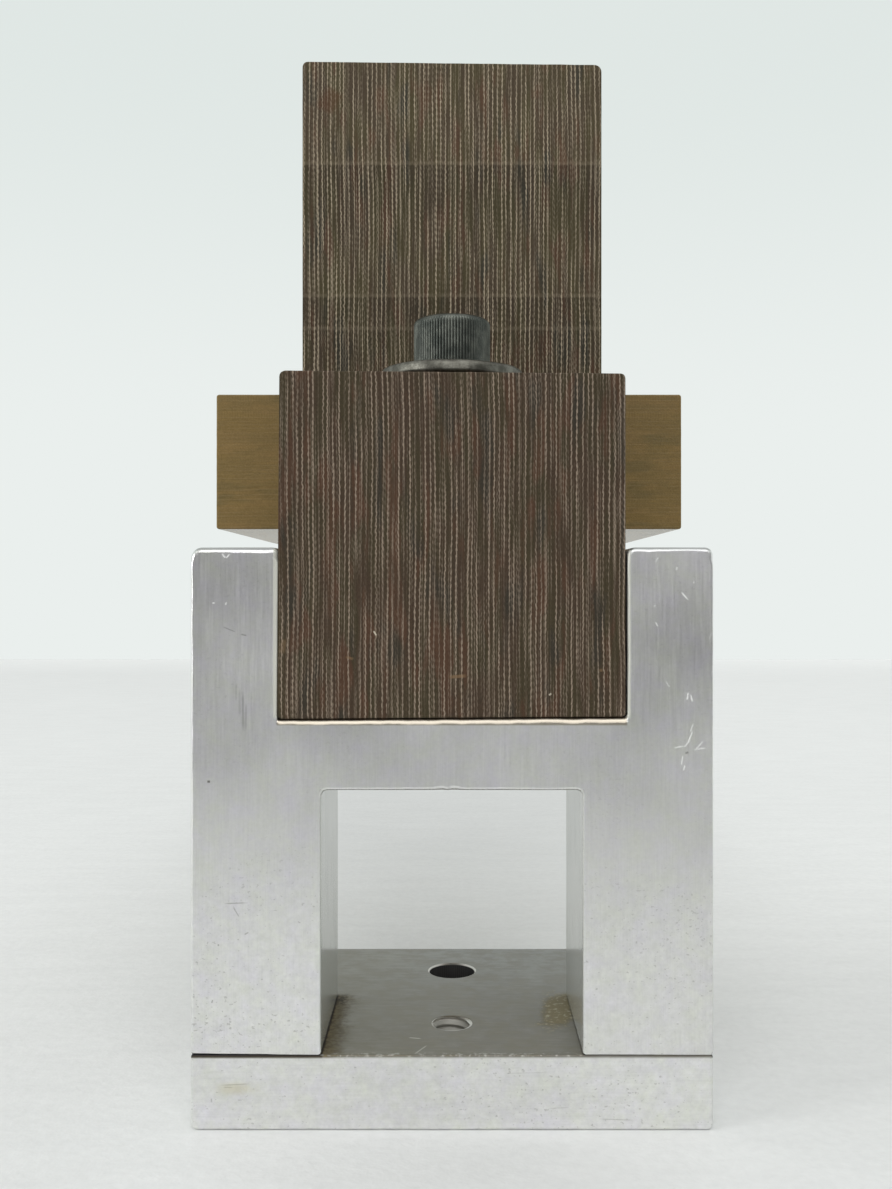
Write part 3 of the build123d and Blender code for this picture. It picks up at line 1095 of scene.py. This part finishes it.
def make_upright_screws(screw_material, washer_material):
    """Two 1/4-20 screws with washers, from the upright's back into the front block."""
    head_height = 6.35
    for number in (1, 2):
        node = f"upright_screw_{number}"
        low, high = box_mm(node)
        centre = (low + high) / 2
        seat = high.y - head_height
        head = screw_head_rings(
            radius=4.76, height=head_height, socket_width=4.76, socket_depth=3.1, teeth=66
        )
        shank = threaded_shank_rings(
            radius=3.175, length=seat - low.y, pitch=INCH / 20, thread_length=25.4, columns=32
        )
        move = facing_back(centre, seat)
        make_cap_screw(node, "block_assembly", head, shank, move, screw_material)

        node = f"upright_washer_{number}"
        move = facing_back(centre, upright_high.y)
        mesh = washer_mesh(node, 7.94, 3.6, 1.6, 0.0, 51 + number, move)
        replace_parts(new_piece(mesh, "block_assembly", washer_material), node)


def washer_mesh(node, radius, hole, thickness, dish, seed, move):
    """A punched washer: rolled rim above, sharp burr below, faces a little wavy."""
    columns = 128
    section = [
        (radius - 0.60, 0.00),
        (radius - 0.25, 0.14),
        (radius - 0.06, 0.34),
        (radius, 0.60),
        (radius - 0.05, thickness * 0.66),
        (radius - 0.22, thickness * 0.84),
        (radius - 0.55, thickness * 0.96),
        (radius - 1.05, thickness),
        (radius * 0.72, thickness),
        (hole + 0.5, thickness),
        (hole + 0.12, thickness - 0.15),
        (hole, thickness - 0.4),
        (hole, 0.2),
        (hole + 0.2, 0.0),
    ]
    work = bmesh.new()
    rings = []
    for index, (ring_radius, height) in enumerate(section):
        lift = dish * max(0.0, (ring_radius - hole) / (radius - hole))

        def radius_at(angle):
            bumps = noise.noise(Vector((math.cos(angle) * 2.2, math.sin(angle) * 2.2, seed + index * 0.3)))
            return min(radius, ring_radius + 0.05 * bumps)

        def height_at(angle):
            reach = ring_radius * 0.35
            bumps = noise.noise(Vector((math.cos(angle) * reach, math.sin(angle) * reach, seed)))
            level = height + lift * (0.5 + 0.5 * math.sin(angle * 2 + 0.6)) + 0.05 * bumps
            return min(thickness, max(0.0, level))

        rings.append(circle_ring(radius_at, height_at, columns))
    skin(work, rings, closed=True)
    for vertex in work.verts:
        vertex.co = move(vertex.co)
    return mesh_from(work, f"{node}_body")


def make_clamp_washer(material):
    """The washer under the clamp screw's head, just thinner than its node so that the two don't touch."""
    thickness = 2.07
    move = standing(clamp_x, clamp_y, washer_low.z)
    mesh = washer_mesh("clamp_washer", 11.1, 4.4, thickness, 0.25, 61, move)
    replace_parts(new_piece(mesh, "clamp_washer", material, 50), "clamp_washer")


def paint_hidden_nodes(screw_material, dowel_material):
    """The pieces inside the blocks keep their CAD shape."""
    for number in (1, 2):
        for kind, material in (
            ("slab_screw", screw_material),
            ("upright_dowel", dowel_material),
            ("slab_dowel", dowel_material),
        ):
            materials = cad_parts[f"{kind}_{number}"].data.materials
            materials.clear()
            materials.append(material)


# ---------------- stage, light and camera

def make_floor():
    """The table, in metres; its far edge is the line behind the object."""
    half = 1.6
    far = 1.12
    near = -0.6
    work = bmesh.new()
    corners = [(-half, near, 0), (half, near, 0), (half, far, 0), (-half, far, 0)]
    work.faces.new([work.verts.new(corner) for corner in corners])
    mesh = bpy.data.meshes.new("floor")
    work.to_mesh(mesh)
    work.free()
    mesh.materials.append(floor_paper())
    new_object("floor", mesh)


def make_world():
    """A pale wall behind the object, a much darker room in front of it and a pale ceiling."""
    pale = (0.823, 0.863, 0.847)
    high_wall = (0.745, 0.80, 0.78)
    room_left = (0.18, 0.18, 0.185)
    room_right = (0.08, 0.08, 0.08)
    ceiling = (0.85, 0.85, 0.85)
    world = bpy.data.worlds.new("studio")
    bpy.context.scene.world = world
    world.use_nodes = True
    nodes = Nodes(world.node_tree)
    right, back, up = nodes.split(nodes.node("ShaderNodeTexCoord", {}, "Generated"))
    wall = nodes.mix(nodes.ramp(up, 0.12, 0.42), pale, high_wall)
    room = nodes.mix(nodes.ramp(right, -0.5, 0.5), room_left, room_right)
    colour = nodes.mix(nodes.ramp(back, -0.1, -0.7), wall, room)
    colour = nodes.mix(nodes.ramp(up, 0.5, 0.85), colour, ceiling)
    nodes.end("ShaderNodeOutputWorld", nodes.node("ShaderNodeBackground", {0: colour, 1: 1.0}))


def hang_lamp(data, place, aim=(0, 0, 0)):
    """Puts a lamp at place, turned to aim, both in metres."""
    lamp = new_object(data.name, data)
    lamp.location = place
    lamp.rotation_euler = (Vector(aim) - Vector(place)).to_track_quat("-Z", "Y").to_euler()


def make_lights():
    """Very soft daylight from the front and above, and a weak window at the left."""
    daylight = bpy.data.lights.new("daylight", "SUN")
    daylight.energy = 1.27
    daylight.angle = math.radians(55)
    hang_lamp(daylight, (0.06, -1.0, 0.78))
    window = bpy.data.lights.new("left_window", "AREA")
    window.shape = "RECTANGLE"
    window.size, window.size_y = 0.4, 0.6
    window.energy = 4.6
    hang_lamp(window, (-1.2, -0.55, 0.4), (0, 0, 0.08))


def make_camera():
    """Level, straight on to the saddle's front face, at the height of its upper legs."""
    distance = 172.0
    eye_x = 0.09
    eye_height = 78.9
    data = bpy.data.cameras.new("camera")
    data.sensor_width = 36.0
    data.lens = 35.78
    data.shift_x = -0.0055
    data.shift_y = -0.0050
    data.clip_start = 0.01
    data.clip_end = 20
    camera = new_object("camera", data)
    camera.location = Vector((eye_x, saddle_low.y - distance, eye_height)) * MM
    camera.rotation_euler = (math.radians(90), 0, 0)
    bpy.context.scene.camera = camera


# ---------------- assembly

make_camera()
make_world()
make_floor()
make_lights()

oxide = black_oxide()
washer_steel = washer_metal()
make_saddle(saddle_metal())
plate_material = plate_metal()
make_plate(plate_material)
make_thread_wall(plate_material)
pale_chips = (
    (-11.2, 72.4, -58, 0.9, 0.16, 0.85),
    (14.3, 63.5, 40, 0.5, 0.18, 0.7),
)
tan_smears = (
    (0.8, 66.1, 4, 3.0, 0.34, 0.55),
    (-14.9, 68.8, -20, 1.3, 0.28, 0.45),
    (21.7, 67.0, 10, 0.6, 0.3, 0.4),
    (-24.6, 70.5, 80, 2.6, 0.6, 0.3),
)
make_front_block(laminate(
    "phenolic_front",
    "x",
    ((0.058, 0.038, 0.024), (0.053, 0.041, 0.022), (0.078, 0.042, 0.025), (0.041, 0.034, 0.024)),
    (0.335, 0.265, 0.20),
    block_low.y,
    marks=(((0.62, 0.56, 0.44), pale_chips), ((0.24, 0.15, 0.08), tan_smears)),
))
cutter_steps = ((149.7, 0.32, 18.0), (127.6, 0.24, 14.0), (122.1, 0.10, 8.0))
red_stains = ((-20.4, 160.4, 60, 5.0, 2.2, 0.5), (14.0, 161.5, 0, 2.2, 1.1, 0.25))
make_upright(laminate(
    "phenolic_upright",
    "x",
    ((0.076, 0.055, 0.034), (0.078, 0.064, 0.031), (0.096, 0.055, 0.032), (0.050, 0.045, 0.031)),
    (0.47, 0.39, 0.28),
    upright_low.y,
    cutter_steps,
    (((0.105, 0.045, 0.022), red_stains),),
))
make_slab(laminate(
    "phenolic_slab",
    "z",
    ((0.215, 0.150, 0.060), (0.245, 0.165, 0.066), (0.228, 0.156, 0.060), (0.188, 0.138, 0.058)),
    (0.29, 0.21, 0.10),
    slab_low.y,
    gloss=0.20,
    contrast=0.3,
))
make_clamp_screw(oxide)
make_clamp_washer(washer_steel)
make_saddle_screws(oxide)
make_upright_screws(oxide, washer_steel)
paint_hidden_nodes(oxide, dowel_metal())

bpy.context.scene.view_settings.view_transform = "Standard"
